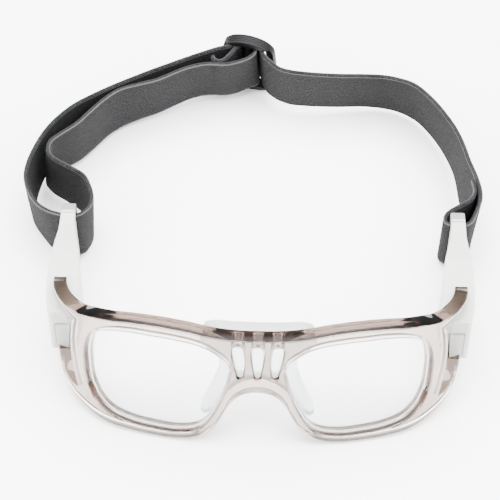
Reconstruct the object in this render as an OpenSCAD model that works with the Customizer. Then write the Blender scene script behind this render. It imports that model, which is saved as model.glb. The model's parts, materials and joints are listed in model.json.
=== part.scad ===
// Sports protective goggles: clear front with two lenses, silicone nose pad,
// two hinged strap arms and one elastic strap with a slider.
// X is across the face, +Y runs back towards the wearer, +Z is up.

/* [Front] */
// Radius of the gentle wrap across the middle, seen from above
wrap_r = 200; // [160:5:260]
// Radius of the tight corner at each temple, seen from above
corner_r = 34; // [30:1:38]
// Half-width at which the tight corner starts
corner_x = 46; // [42:1:50]
// Thickness of the rims and the bridge, front to back
rim_t = 6.2; // [5:0.1:7]
// Thickness of the side branches
branch_t = 4.7; // [4:0.1:5.2]
// Height of the front along its own slope
front_h = 49.4; // [44:0.2:56]
// Width of a rim at the bottom and at the nose
rim_w = 3; // [2.4:0.1:4]
// Backward lean of the front
tilt = 12; // [8:1:16]

/* [Lenses] */
// Lens thickness
lens_t = 2; // [1.6:0.1:2.6]
// Depth of the lens edge in its groove
lens_bite = 0.8; // [0.5:0.1:1.2]
// Clearance round a lens in its groove
lens_gap = 0.1; // [0.05:0.01:0.2]

/* [Nose pad] */
// Half-width of the brow pad
pad_half_w = 20; // [17:0.5:23]
// Thickness of the pad behind the bridge
pad_t = 6; // [4:0.5:8]
// Spacing of the three bridge slots
slot_pitch = 6.8; // [6:0.1:7.4]
// Width of a bridge slot at its top
slot_w = 4.2; // [3:0.1:4.8]
// Clearance round a peg in its slot
peg_gap = 0.4; // [0.1:0.05:0.6]

/* [Arms] */
// Height of the arm's front end
arm_front_h = 21.6; // [18:0.2:23]
// Wall above the strap slot at the arm's strap end
slot_cover = 1.2; // [0.8:0.1:3]
// Thickness of the bar that the strap loops round
bar_depth = 2.9; // [2.2:0.1:4.6]
// Length of the arm from its front face to its strap end
arm_len = 53.2; // [48:0.2:62]
// Hinge pin radius
pin_r = 1; // [0.8:0.05:1.3]
// Running clearance of the pin in the knuckle
pin_gap = 0.05; // [0.02:0.01:0.1]
// Thickness of the hinge knuckle, side to side
knuckle_t = 4.2; // [3.6:0.1:4.8]
// Height of the hinge knuckle
knuckle_h = 12; // [9:0.5:13]
// Clearance between the knuckle and the fork round it
fork_gap = 0.3; // [0.15:0.05:0.5]

/* [Strap] */
// Width of the elastic webbing
strap_w = 25; // [20:0.5:25.5]
// Thickness of the elastic webbing
strap_t = 1.5; // [1:0.1:1.6]
// Width of the arm's slot for the strap
strap_slot = 2.2; // [2:0.1:3]
// Lean of the strap slot towards the face
slot_lean = 5; // [0:1:8]
// Clearance above and below the strap where it passes through
strap_gap = 0.5; // [0.3:0.1:1]

/* [Slider] */
// Length of the slider along the strap
slider_l = 20.6; // [19:0.2:24]
// Thickness of the slider
slider_t = 4.4; // [3.6:0.1:5]
// Width of its two end bars
end_bar = 3; // [2.4:0.1:3.4]
// Height of its rounded ends
end_crown = 7; // [4:0.5:9]
// Width of its centre bar
centre_bar = 2.6; // [2:0.1:3]

/* [Hidden] */
e = 0.01;
big = 120;

// The box of the whole object is centred on X = Y = 0.
mid_x = -4.7;
mid_y = 85.63;
// Place of the front's middle on the table
front_y = -5.5;

// ---- the curved band that the front is cut from, seen from above ----
wrap_a = asin(corner_x / wrap_r);
corner_c = [corner_x - corner_r * sin(wrap_a), wrap_r - (wrap_r - corner_r) * cos(wrap_a)];
wrap_steps = 8;
corner_steps = 12;

function on_wrap(d, a) = [(wrap_r - d) * sin(a), wrap_r - (wrap_r - d) * cos(a)];
function on_corner(d, a) = corner_c + (corner_r - d) * [sin(a), -cos(a)];
// depth d0 on the wrap runs into depth d1 at the end of the corner
function half_curve(d0, d1) = concat(
    [for (i = [0:wrap_steps]) on_wrap(d0, wrap_a * i / wrap_steps)],
    [for (i = [1:corner_steps]) let (f = i / corner_steps)
        on_corner(d0 + (d1 - d0) * f, wrap_a + (90 - wrap_a) * f)]);
function flipped(p) = [for (q = p) [-q[0], q[1]]];
function reversed(p) = [for (i = [len(p) - 1:-1:0]) p[i]];
function whole_curve(d0, d1) = let (h = half_curve(d0, d1), n = len(h))
    concat(reversed(flipped([for (i = [1:n - 1]) h[i]])), h);
module band(d0, d1, e0, e1) {
    translate([0, 0, -big / 2]) linear_extrude(big)
        polygon(concat(whole_curve(d0, d1), reversed(whole_curve(e0, e1))));
}

// ---- smooth closed outlines through a few points ----
smooth_n = 5;
function spline(a, b, c, d, t) = 0.5 * (2 * b + (c - a) * t
    + (2 * a - 5 * b + 4 * c - d) * t * t + (3 * b - a - 3 * c + d) * t * t * t);
function smooth(p, n = smooth_n) = let (m = len(p)) [for (i = [0:m - 1], k = [0:n - 1])
    spline(p[(i + m - 1) % m], p[i], p[(i + 1) % m], p[(i + 2) % m], k / n)];
function open_smooth(p, n) = let (m = len(p)) concat(
    [for (i = [0:m - 2], k = [0:n - 1])
        spline(p[max(i - 1, 0)], p[i], p[i + 1], p[min(i + 2, m - 1)], k / n)], [p[m - 1]]);
function grown(p, c, d) = [for (q = p) c + (q - c) * (1 + d / norm(q - c))];
function scaled_up(p, k) = [for (q = p) [q[0], q[1] * k]];
module front_cut(p) {
    translate([0, big / 2, 0]) rotate([90, 0, 0]) linear_extrude(big) polygon(p);
}
module side_cut(p) {
    rotate([90, 0, 90]) translate([0, 0, 57]) linear_extrude(30) polygon(p);
}
module both_sides() {
    children();
    mirror([1, 0, 0]) children();
}
module leaned() {
    translate([0, front_y, front_z]) rotate([-tilt, 0, 0]) children();
}
module placed() {
    translate([-mid_x, -mid_y, 0]) children();
}

// ---- front outlines, in the slope of the front: across and up ----
up = front_h / 49.4;
rim_out = 64.9;
arch_h = 23.4;
half_outline = scaled_up([[0, 46.3], [8, 46.4], [15, 47], [26, 48.8], [38, 49.4], [51, 48.4],
    [60, 46.9], [63.2, 45.6], [63.8, 40], [64.6, 34], [rim_out, 28], [64.4, 20], [62.8, 11.4],
    [61.2, 5.4], [55, 2.4], [46, 0.9], [36.5, 0], [27, 0.1], [21, 1.4], [15.9, 4.8],
    [12.4, 11], [9.4, 17.6], [6.2, 21.6], [2.5, arch_h], [0, arch_h + 0.2]], up);
front_outline = concat(open_smooth(half_outline, 4),
    reversed(flipped(open_smooth(half_outline, 4))));
lens_mid = [35, 25 * up];
nose_in = rim_w - 3;
opening = grown(smooth(scaled_up([[9.9, 34.8], [14.4, 39.8], [19.4, 42.6], [27.8, 44.3],
    [36.5, 44.8], [44, 44.9], [51, 43.6], [56.5, 39.6], [59, 33], [59.6, 24], [58.4, 15],
    [54, 8], [46, 4.4], [36.5, 3], [27, 2.9], [20.6, 5], [17.2, 8.6], [14.4, 14],
    [12.2, 20], [10.4, 27]], up)), lens_mid, -nose_in);
lens_outline = grown(opening, lens_mid, lens_bite);
groove_outline = grown(opening, lens_mid, lens_bite + lens_gap);

// the lower rims stand on the table on their back edges, at this distance out
foot_x = 37.6;
front_z = (wrap_r - sqrt(wrap_r * wrap_r - foot_x * foot_x) + rim_t) * sin(tilt);

// depth of the lens behind the outer face, and the bridge slots' ends
lens_y = 2.1;
slot_top = 43.4;
slot_low = 29.8;
slot_narrow = 0.42;

// side branches, in the slope of the front: back and up
branch_end = 38.6;
upper_branch = scaled_up([[9, 46.6], [14, 45.8], [branch_end - 3.4, 42.1],
    [branch_end - 2.8, 41.5], [branch_end, 41], [branch_end, 38.9], [branch_end - 7.4, 39.6], [21, 41], [16, 40.6], [9, 36]], up);
lower_branch = scaled_up([[9, 3.1], [12.6, 5], [18, 6.6], [21.4, 8.2], [24.9, 11],
    [27.4, 14], [28.6, 17], [32, 19], [32, 26], [28.4, 21], [26.2, 15], [23.3, 12.4], [18, 11], [14, 10.9], [9, 14]], up);

// ---- arms and hinges, on the +X side ----
arm_top = 31.8;
arm_y = 26.7;
arm_end_y = arm_y + arm_len;
arm_low = arm_top - arm_front_h;
hinge_x = 68.9;
hinge_y = arm_y + 5.2;
knuckle_z = 13;
knuckle_reach = 6.2;
fork_low = knuckle_z - fork_gap;
fork_high = knuckle_z + knuckle_h + fork_gap;
cheek_x = hinge_x + knuckle_t / 2 + fork_gap;
strap_z = 1.9;
// the slot leans, so the strap in it is further back at its lower edge
slot_back = strap_w / 2 * sin(slot_lean);
slot_y = arm_end_y - bar_depth - strap_slot / 2 + slot_back;
// the strap's ends move with the arm ends, from where they are drawn
arm_end_drawn = 79.9;
arm_more = arm_end_y - arm_end_drawn;
follow_all = 90;
follow_none = 150;
function follow(y) = y + arm_more * min(1, max(0, (follow_none - y) / (follow_none - follow_all)));
slot_low_y = slot_y + slot_back - arm_more;
slot_high_y = slot_y - slot_back - arm_more;
arm_rear_h = strap_z + strap_w + strap_gap + slot_cover;
arm_tail_y = arm_end_y + arm_rear_h * tan(slot_lean);
arm_in = 63.2;
arm_plan = [[arm_in, arm_y + 3], [64.4, arm_y + 0.9], [66.4, arm_y], [72.6, arm_y],
    [73.4, arm_y + 0.8], [74.6, arm_y + 8], [75, arm_y + 16], [74.8, arm_y + 24],
    [74.1, arm_y + 33.6], [73.5, arm_y + 39.6], [73.3, arm_tail_y - 0.8], [72.6, arm_tail_y],
    [68.9, arm_tail_y], [68.2, arm_tail_y - 0.8], [68.1, arm_y + 43.6], [67.2, arm_y + 38.6],
    [65.2, arm_y + 29.6], [63.9, arm_y + 20.6], [arm_in, arm_y + 11.6]];
arm_side = [[arm_y - 1, arm_low], [arm_y + 9, arm_low], [arm_y + 19, arm_low * 0.68],
    [arm_y + 29, arm_low * 0.3], [arm_y + 38, arm_low * 0.06], [arm_y + 43, 0], [arm_tail_y, 0],
    [arm_end_y, arm_rear_h], [arm_y + 43, arm_rear_h], [arm_y + 29, arm_top - 0.4],
    [arm_y + 15, arm_top], [arm_y - 1, arm_top]];

// ---- slider, standing on its lower end and leaning towards the goggles ----
slider_at = [-6.4, 170.8];
slider_turn = -15;
slider_lean = 12;
slider_h = strap_w + 2 * (end_bar + strap_gap) + slider_t / 2 * sin(slider_lean);
slider_z = 0.1 + slider_t / 2 * sin(slider_lean);
// near the slider the strap rises from the table to pass through the slots
slider_rise = slider_z + end_bar * cos(slider_lean) + slider_t / 2 * sin(slider_lean) + 0.2 - strap_z;
rise_from = 60;
rise_to = 16;

// ---- strap: each row is the lower edge (x, y) and the upper edge (x, y) ----
across = [cos(slider_turn), sin(slider_turn)];
behind = [-sin(slider_turn), cos(slider_turn)];
strap_lean = -strap_w * sin(slider_lean) * behind;
function eased(t) = let (f = min(1, max(0, t))) f * f * (3 - 2 * f);
function rise_at(p) = slider_rise * eased((rise_from - norm(p - slider_at)) / (rise_from - rise_to));
// a row beside the slider: s along it, n behind its middle
function at_slider(s, n) = let (low = slider_at + s * across + (n - 0.8) * behind)
    [low[0], low[1], low[0] + strap_lean[0], low[1] + strap_lean[1]];
right_end = [[74.8, 98, 77.3, 97.5], [75, 93, 78, 92.5], [74.4, 89.5, 76.4, 88.5],
    [72.2, 87, 72.8, 85.6], [68.9, 85, 69.4, 83.2], [66.4, 82.2, 66.9, 80.6],
    [66.2, slot_low_y + 1.9, 66.3, slot_high_y + 1.9], [67.2, slot_low_y + 0.3, 67.2, slot_high_y + 0.3],
    [69, slot_low_y, 69, slot_high_y],
    [72.4, slot_low_y, 72.4, slot_high_y], [74.9, slot_low_y + 0.5, 74.9, slot_high_y + 0.5],
    [76.2, 81.6, 76.6, 79.2], [77, 85, 78.6, 84.2]];
right_run = [[77.6, 89.5, 79.8, 88.7], [77.4, 94, 79.9, 93.6], [76.4, 101, 78.4, 101],
    [75.3, 109, 76.4, 108], [74.6, 117.5, 74.6, 116], [73.2, 125.5, 71.6, 125],
    [69.7, 135.5, 66.6, 135], [65.4, 144, 62, 142], [60.1, 151.4, 57, 147.6],
    [53.1, 156.4, 51, 150.6], [46, 158.4, 45, 151.9], [38, 158.7, 37.6, 151.8],
    [28.5, 157.6, 28.2, 150.9], [19.7, 157, 19, 150.6], [13.1, 157, 12.2, 150.9],
    [9.1, 157.4, 8.3, 151.4], [5.1, 159.2, 4.6, 152.8], [2.2, 161.4, 2, 155.2]];
through_slider = [at_slider(8.4, -4.4), at_slider(6.9, -2.7), at_slider(5.4, -0.6),
    at_slider(4.1, 2), at_slider(2.2, 4), at_slider(0, 4.6), at_slider(-2.2, 4),
    at_slider(-4.1, 2), at_slider(-5.3, -0.4), at_slider(-7, -2.5), at_slider(-9.4, -3.6)];
outer_run = [[-25, 166.8, -26, 160.4], [-36.4, 160.9, -37.4, 154.8], [-47.4, 155, -48, 149.6],
    [-58, 149, -58, 144], [-66.6, 142.6, -66, 138.4], [-74.4, 135.4, -73.8, 132],
    [-80.8, 127.4, -79.8, 124.6], [-84.4, 120.8, -83.8, 117.4], [-86.4, 114, -86.4, 110.2],
    [-87.6, 107, -88.2, 103], [-87.9, 100.6, -88.8, 96.6], [-87.2, 95, -87.9, 91],
    [-85.2, 90.4, -86, 86.2], [-82, 85.6, -82.8, 81.2], [-78.6, 81, -78.7, 78],
    [-75.2, slot_low_y + 0.6, -75.2, slot_high_y + 0.7]];
left_end = [[-72.4, slot_low_y, -72.4, slot_high_y], [-69, slot_low_y, -69, slot_high_y],
    [-67.2, slot_low_y + 0.3, -67.2, slot_high_y + 0.3], [-66.2, slot_low_y + 1.9, -65.6, slot_high_y + 1.7],
    [-65, 83, -63.6, 80.4], [-64.6, 87, -63, 85],
    [-65.6, 92.8, -64.5, 90.6], [-69.2, 99.2, -67.4, 96.2], [-75.4, 104.4, -73.8, 100.6],
    [-80.6, 108.2, -79.4, 104.4], [-83.9, 112.6, -81.6, 108.2], [-83.8, 117, -81.2, 112.8]];
inner_run = [[-79.6, 120.8, -77.8, 116.8], [-73.2, 125.6, -72.2, 122.2], [-68.2, 132, -67.4, 129],
    [-63.4, 139, -62.6, 135.6], [-57.8, 144.6, -57, 141], [-51, 148.7, -49.9, 144],
    [-43.9, 151.9, -42.8, 146.4], [-36.7, 156.2, -35.6, 150.4], [-31.1, 159.4, -30.3, 153],
    [-24.4, 161.4, -23.8, 154.7], [-17.4, 161.6, -17, 154.6], [-13.4, 162.6, -13.2, 155.6],
    [-10.4, 164.4, -10.6, 156.9], [-7.8, 166.1, -8.1, 158.4], [-6, 166.9, -6.2, 160]];
centre_loop = [[-4.7, 167.5, -5.1, 162], at_slider(2.8, -0.7), at_slider(2.4, 1.4),
    at_slider(1.1, 2.4), at_slider(-0.9, 2.5), at_slider(-2.5, 1.4), at_slider(-3.4, -1.4)];
strap_tail = [[-12, 169, -12.9, 163.7], [-14.6, 166, -15, 160], [-16.9, 163.9, -17.2, 157.2],
    [-19.3, 163.3, -19, 156.3], [-21.2, 163.9, -20.9, 157], [-22.2, 165.6, -21.9, 159]];
strap_rows = [for (r = concat(right_end, right_run, through_slider, outer_run, left_end, inner_run,
    centre_loop, strap_tail)) [r[0], follow(r[1]), r[2], follow(r[3])]];

function ring(rows, i, t, z0, h) = let (m = len(rows) - 1, a = rows[max(i - 1, 0)],
    b = rows[min(i + 1, m)], r = rows[i], lo = [r[0], r[1]], hi = [r[2], r[3]],
    dl = [b[0] - a[0], b[1] - a[1]] / norm([b[0] - a[0], b[1] - a[1]]),
    dh = [b[2] - a[2], b[3] - a[3]] / norm([b[2] - a[2], b[3] - a[3]]),
    nl = [-dl[1], dl[0]] * t / 2, nh = [-dh[1], dh[0]] * t / 2,
    rise = sqrt(h * h - pow(norm(hi - lo), 2)))
    [concat(lo + nl, z0), concat(lo - nl, z0), concat(hi - nh, z0 + rise),
     concat(hi + nh, z0 + rise)];
// closed ribbon standing on edge along the rows
module ribbon(rows, t, z0, h) {
    m = len(rows);
    pts = [for (i = [0:m - 1]) each ring(rows, i, t, z0 + rise_at([rows[i][0], rows[i][1]]), h)];
    sides = [for (i = [0:m - 2], k = [0:3], half = [0, 1])
        let (a = 4 * i + k, b = 4 * i + (k + 1) % 4)
        half == 0 ? [a, b, b + 4] : [a, b + 4, a + 4]];
    ends = [[2, 1, 0], [3, 2, 0], [4 * m - 4, 4 * m - 3, 4 * m - 2], [4 * m - 4, 4 * m - 2, 4 * m - 1]];
    polyhedron(pts, concat(sides, ends));
}

// ---- sub-parts ----
module frame() {
    color([0.62, 0.55, 0.5, 0.55]) placed() {
        difference() {
            union() {
                leaned() intersection() {
                    band(0, 0, rim_t, branch_t);
                    union() {
                        front_cut(front_outline);
                        both_sides() side_cut(upper_branch);
                        both_sides() side_cut(lower_branch);
                    }
                }
                both_sides() knuckle();
            }
            leaned() both_sides() front_cut(opening);
            leaned() both_sides() intersection() {
                band(lens_y - lens_gap, lens_y - lens_gap, lens_y + lens_t + lens_gap,
                    lens_y + lens_t + lens_gap);
                front_cut(groove_outline);
            }
            leaned() for (i = [-1:1]) bridge_slot(i, 0);
            both_sides() translate([hinge_x, hinge_y, knuckle_z - e])
                cylinder(r = pin_r + pin_gap, h = knuckle_h + 2 * e, $fn = 32);
            both_sides() translate([cheek_x - fork_gap, arm_y - fork_gap, arm_low - fork_gap])
                cube([10, 12, arm_front_h + 2 * fork_gap]);
            both_sides() for (z = [arm_low - fork_gap, fork_high - fork_gap / 2])
                translate([arm_in - fork_gap, arm_y - fork_gap, z])
                    cube([20, 12, (z < fork_low ? fork_low : arm_top + fork_gap) + fork_gap / 2 - z]);
        }
    }
}
module knuckle() {
    translate([hinge_x - knuckle_t / 2, hinge_y - knuckle_reach, knuckle_z])
        cube([knuckle_t, knuckle_reach, knuckle_h]);
    translate([hinge_x, hinge_y, knuckle_z]) cylinder(d = knuckle_t, h = knuckle_h, $fn = 32);
}
// one of the three tapered slots through the bridge
module bridge_slot(i, shrink) {
    w = slot_w / 2 - shrink;
    low_w = slot_w / 2 * slot_narrow - shrink / 2;
    x = i * slot_pitch;
    lean = -i * 0.9;
    front_cut(scaled_up([[x - w, slot_top - shrink - 0.6], [x - w + 0.6, slot_top - shrink],
        [x + w - 0.6, slot_top - shrink], [x + w, slot_top - shrink - 0.6],
        [x + lean + low_w + 0.5, slot_low + 2], [x + lean + low_w, slot_low + shrink],
        [x + lean - low_w, slot_low + shrink], [x + lean - low_w - 0.5, slot_low + 2]], up));
}
module lens() {
    color([0.9, 0.95, 0.97, 0.25]) leaned() intersection() {
        band(lens_y, lens_y, lens_y + lens_t, lens_y + lens_t);
        front_cut(lens_outline);
    }
}
pad_half = scaled_up([[0, 45.6], [pad_half_w - 2, 45.6], [pad_half_w, 43.6], [pad_half_w, 40.4],
    [pad_half_w - 3, 37.6], [14, 34.6], [13.6, 30], [15.6, 22], [18.6, 14], [20.4, 9.6], [19.8, 7.6],
    [17.6, 7.6], [14.6, 12], [11.4, 18], [8.2, 22.4], [4.6, 25.2], [0, 26.4]], up);
pad_gap = 0.05;
module nose_pad() {
    color([0.95, 0.97, 0.97, 0.6]) placed() leaned() {
        intersection() {
            band(rim_t + pad_gap, rim_t + pad_gap, rim_t + pad_t, rim_t + pad_t);
            front_cut(concat(pad_half, reversed(flipped(pad_half))));
        }
        for (i = [-1:1]) intersection() {
            band(0.6, 0.6, rim_t + pad_gap + 1, rim_t + pad_gap + 1);
            bridge_slot(i, peg_gap);
        }
    }
}
module arm() {
    color([0.93, 0.95, 0.92, 0.85]) difference() {
        intersection() {
            linear_extrude(big / 2) polygon(arm_plan);
            rotate([90, 0, 90]) translate([0, 0, 55]) linear_extrude(30) polygon(arm_side);
        }
        translate([hinge_x, slot_y, strap_z + strap_w / 2]) rotate([slot_lean, 0, 0])
            cube([30, strap_slot, strap_w + 2 * strap_gap], center = true);
        translate([cheek_x - 20, arm_y - 5, fork_low])
            cube([20, hinge_y - arm_y + 5, fork_high - fork_low]);
        translate([hinge_x, hinge_y, fork_low])
            cylinder(r = knuckle_t / 2 + fork_gap, h = fork_high - fork_low, $fn = 48);
        translate([hinge_x - knuckle_t / 2 - fork_gap, hinge_y - 0.1, fork_low])
            mirror([1, 0, 0]) cube([20, 2.4, fork_high - fork_low]);
        translate([hinge_x, hinge_y, -1]) cylinder(r = pin_r, h = arm_top, $fn = 32);
    }
}
module hinge_pin() {
    color([0.75, 0.76, 0.78]) translate([hinge_x, hinge_y, arm_low + 0.2])
        cylinder(r = pin_r, h = arm_top - 1 - arm_low - 0.2, $fn = 32);
}
module strap() {
    color([0.33, 0.33, 0.34]) placed() ribbon(open_smooth(strap_rows, 2), strap_t, strap_z, strap_w);
}
// a row of thread across the webbing, standing proud of the face that n points to
module seam(at, dir, n) {
    low = strap_z + rise_at([at[0], at[1]]);
    for (k = [0:4]) let (z = low + 3 + k * (strap_w - 6) / 4, f = (z - low) / strap_w)
        translate([at[0] + (at[2] - at[0]) * f, at[1] + (at[3] - at[1]) * f, z])
            rotate([0, 0, dir]) translate([0, n * (strap_t / 2 + 0.25), 0])
                cube([0.5, 0.4, 3], center = true);
}
// where the two rows of thread cross the strap: its lower and its upper edge
right_seam = [77.5, follow(91.8), 79.9, follow(91.2)];
slider_seam = [-21.4, 161.6, -20.9, 154.7];
module seam_right() {
    color([0.2, 0.2, 0.2]) placed() seam(right_seam, 92, -1);
}
module seam_slider() {
    color([0.2, 0.2, 0.2]) placed() seam(slider_seam, 0, -1);
}
// woven tab on the strap's outer face: length, thickness and height
tab = [8, 0.6, 12];
tab_at = [-88.35, 100];
tab_turn = -87;
// how far the strap leans over its width there
tab_lean = 0.92;
tab_gap = 0.1;
module strap_patch() {
    color([0.6, 0.3, 0.32]) placed() translate([tab_at[0] - strap_t / 2 - tab[1] / 2 - tab_gap,
        follow(tab_at[1]), strap_z + strap_w / 2]) rotate([asin(tab_lean / strap_w), 0, tab_turn])
        cube([tab[0], tab[1], tab[2] * strap_w / 25], center = true);
}
module slider() {
    color([0.25, 0.25, 0.26]) placed()
        translate([slider_at[0], slider_at[1], slider_z]) rotate([0, 0, slider_turn])
        rotate([slider_lean, 0, 0]) difference() {
            translate([0, slider_t / 2, 0]) rotate([90, 0, 0]) linear_extrude(slider_t)
                slider_outline();
            for (s = [-1, 1]) translate([s * (centre_bar + slider_gap) / 2, 0, end_bar])
                translate([-slider_gap / 2, -big / 2, 0])
                    cube([slider_gap, big, slider_h - 2 * end_bar]);
            for (s = [-1, 1]) translate([s * (slider_l / 2 - end_bar / 2), 0, end_bar])
                translate([-end_bar, -slider_t / 2 - 1, 0])
                    cube([2 * end_bar, 2.2, slider_h - 2 * end_bar]);
            for (y = [-1, 1]) translate([0, y * (slider_t / 2 + 0.2), slider_h / 2])
                cube([centre_bar + 1, 2.4, slider_h - 2 * end_bar], center = true);
        }
}
slider_gap = slider_l / 2 - end_bar - centre_bar / 2;
module slider_outline() {
    for (z = [end_crown, slider_h - end_crown]) translate([0, z])
        scale([1, 2 * end_crown / slider_l]) circle(d = slider_l, $fn = 64);
    translate([-slider_l / 2, end_crown]) square([slider_l, slider_h - 2 * end_crown]);
}

frame();
placed() mirror([1, 0, 0]) lens();  // lens_left
placed() lens();  // lens_right
nose_pad();
placed() mirror([1, 0, 0]) arm();  // arm_left
placed() arm();  // arm_right
placed() mirror([1, 0, 0]) hinge_pin();  // hinge_pin_left
placed() hinge_pin();  // hinge_pin_right
strap();
seam_right();
seam_slider();
strap_patch();
slider();
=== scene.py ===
# Sports goggles: clear wrap front, two lenses, silicone nose pad, hinged milky arms,
# and an elastic strap with a slider.
import json
import math

import bpy
from mathutils import Matrix, Vector


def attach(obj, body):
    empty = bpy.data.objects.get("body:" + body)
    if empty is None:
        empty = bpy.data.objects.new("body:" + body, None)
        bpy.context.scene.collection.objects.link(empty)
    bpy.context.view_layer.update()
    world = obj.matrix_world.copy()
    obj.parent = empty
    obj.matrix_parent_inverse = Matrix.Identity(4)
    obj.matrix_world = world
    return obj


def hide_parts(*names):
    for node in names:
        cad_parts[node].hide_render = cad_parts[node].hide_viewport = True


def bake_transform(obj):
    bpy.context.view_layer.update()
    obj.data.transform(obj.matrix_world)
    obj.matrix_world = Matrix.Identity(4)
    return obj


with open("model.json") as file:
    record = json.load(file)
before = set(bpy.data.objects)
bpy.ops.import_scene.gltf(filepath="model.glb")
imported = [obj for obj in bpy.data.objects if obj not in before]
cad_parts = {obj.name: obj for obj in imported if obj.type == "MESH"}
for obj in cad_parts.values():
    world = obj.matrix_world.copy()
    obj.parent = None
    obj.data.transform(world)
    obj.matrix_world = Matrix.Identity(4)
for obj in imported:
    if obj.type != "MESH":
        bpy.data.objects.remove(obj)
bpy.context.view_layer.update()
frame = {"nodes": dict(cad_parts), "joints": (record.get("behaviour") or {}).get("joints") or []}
mm = 0.001
joints = {joint["name"]: joint for joint in frame["joints"]}
print("frame loaded,", len(frame["nodes"]), "nodes")

# where the design's own lines lie in the frame
place = {
    "hingeAcross": 68.9 * mm,   # hinge pin from the middle of the face
    "hingeBack": 31.9 * mm,     # hinge pin behind the front's datum
    "lean": math.radians(12),   # backward lean of the front
    "frontBack": -5.5 * mm,     # foot of the front
    "frontUp": 2.0 * mm,
}
rightHinge = Vector(joints["arm_right_hinge"]["pos_m"])
shift = Vector((rightHinge.x - place["hingeAcross"], rightHinge.y - place["hingeBack"], 0))
wrap = {"middle": 200 * mm, "corner": 34 * mm, "cornerFrom": 46 * mm, "rim": 6.2 * mm, "branch": 4.7 * mm}
wrapTurn = math.asin(wrap["cornerFrom"] / wrap["middle"])
cornerX = wrap["cornerFrom"] - wrap["corner"] * math.sin(wrapTurn)
cornerY = wrap["middle"] - (wrap["middle"] - wrap["corner"]) * math.cos(wrapTurn)
middleLength = wrap["middle"] * wrapTurn


def runAcross(x):
    # distance along the wrap to a point that lies x from the middle
    if abs(x) <= wrap["cornerFrom"]:
        return math.copysign(wrap["middle"] * math.asin(abs(x) / wrap["middle"]), x)
    turn = math.asin(min(1, (abs(x) - cornerX) / wrap["corner"]))
    return math.copysign(middleLength + wrap["corner"] * (turn - wrapTurn), x)


def runBack(y):
    # the same for a point on the corner that lies y behind the middle
    turn = math.acos((cornerY - y) / wrap["corner"])
    return middleLength + wrap["corner"] * (turn - wrapTurn)


def onWrap(run, depth, up):
    # a point of the front: run along it, depth behind its outer face, up its slope
    side, run = math.copysign(1, run), abs(run)
    if run <= middleLength:
        turn = run / wrap["middle"]
        middle, radius = Vector((0, wrap["middle"])), wrap["middle"] - depth
    else:
        turn = wrapTurn + (run - middleLength) / wrap["corner"]
        middle, radius = Vector((cornerX, cornerY)), wrap["corner"] - depth
    x, y = middle.x + radius * math.sin(turn), middle.y - radius * math.cos(turn)
    return leaned(Vector((side * x, y, up)))


def leaned(point):
    spin = Matrix.Rotation(-place["lean"], 3, "X")
    return spin @ point + Vector((0, place["frontBack"], place["frontUp"])) + shift


def wallAt(run):
    # the front gets thinner round the corner
    turn = (abs(run) - middleLength) / wrap["corner"]
    share = min(1, max(0, turn / (math.pi / 2 - wrapTurn)))
    return wrap["rim"] + (wrap["branch"] - wrap["rim"]) * share


# small tools that shape and combine pieces
def pick(*pieces):
    bpy.ops.object.select_all(action="DESELECT")
    for piece in pieces:
        piece.select_set(True)
    bpy.context.view_layer.objects.active = pieces[0]


def applyModifiers(piece):
    pick(piece)
    for modifier in list(piece.modifiers):
        bpy.ops.object.modifier_apply(modifier=modifier.name)


def smooth(piece, angle=35):
    pick(piece)
    bpy.ops.object.shade_smooth_by_angle(angle=math.radians(angle))


def plate(name, loops, thick, edge, steps=6, rounds=3):
    # a flat plate lying in XY with rounded rims, cut by the loops inside the first one
    bpy.ops.object.select_all(action="DESELECT")
    bpy.ops.curve.primitive_bezier_circle_add(radius=0.01)
    piece = bpy.context.object
    piece.name = name
    curve = piece.data
    curve.splines.clear()
    for loop in loops:
        spline = curve.splines.new("BEZIER")
        spline.bezier_points.add(len(loop) - 1)
        for point, spot in zip(spline.bezier_points, loop):
            point.co = (spot[0], spot[1], 0)
            kind = "VECTOR" if len(spot) > 2 else "AUTO"
            point.handle_left_type = point.handle_right_type = kind
        spline.use_cyclic_u = True
    curve.dimensions = "2D"
    curve.fill_mode = "BOTH"
    curve.resolution_u = steps
    curve.offset = -edge
    curve.bevel_depth = edge
    curve.bevel_resolution = rounds
    curve.extrude = thick / 2 - edge
    pick(piece)
    bpy.ops.object.convert(target="MESH")
    bpy.ops.object.mode_set(mode="EDIT")
    bpy.ops.mesh.select_all(action="SELECT")
    bpy.ops.mesh.remove_doubles(threshold=0.01 * mm)
    bpy.ops.mesh.normals_make_consistent(inside=False)
    bpy.ops.object.mode_set(mode="OBJECT")
    return piece


def sliceAlong(piece, axis, step):
    # cuts across the piece at even steps, so that it can bend
    low = min(v.co[axis] for v in piece.data.vertices)
    high = max(v.co[axis] for v in piece.data.vertices)
    normal = [0, 0, 0]
    normal[axis] = 1
    pick(piece)
    bpy.ops.object.mode_set(mode="EDIT")
    cuts = int((high - low) / step)
    for k in range(1, cuts):
        spot = [0, 0, 0]
        spot[axis] = low + (high - low) * k / cuts
        bpy.ops.mesh.select_all(action="SELECT")
        bpy.ops.mesh.bisect(plane_co=spot, plane_no=normal)
    bpy.ops.object.mode_set(mode="OBJECT")


def reshape(piece, where):
    for vertex in piece.data.vertices:
        vertex.co = where(vertex.co)
    piece.data.update()


def join(piece, other, operation, keep=False):
    change = piece.modifiers.new(operation, "BOOLEAN")
    change.object, change.operation, change.solver = other, operation, "MANIFOLD"
    applyModifiers(piece)
    if not keep:
        bpy.data.objects.remove(other)


def mirrored(half):
    # closes a half outline across the middle line
    return half + [(-spot[0], *spot[1:]) for spot in reversed(half) if abs(spot[0]) > 1e-6]


def grown(loop, middle, by):
    moved = []
    for spot in loop:
        out = Vector(spot[:2]) - Vector(middle)
        moved.append((*(Vector(spot[:2]) + out.normalized() * by), *spot[2:]))
    return moved


def flippedLoop(loop):
    return [(-spot[0], *spot[1:]) for spot in reversed(loop)]


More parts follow.
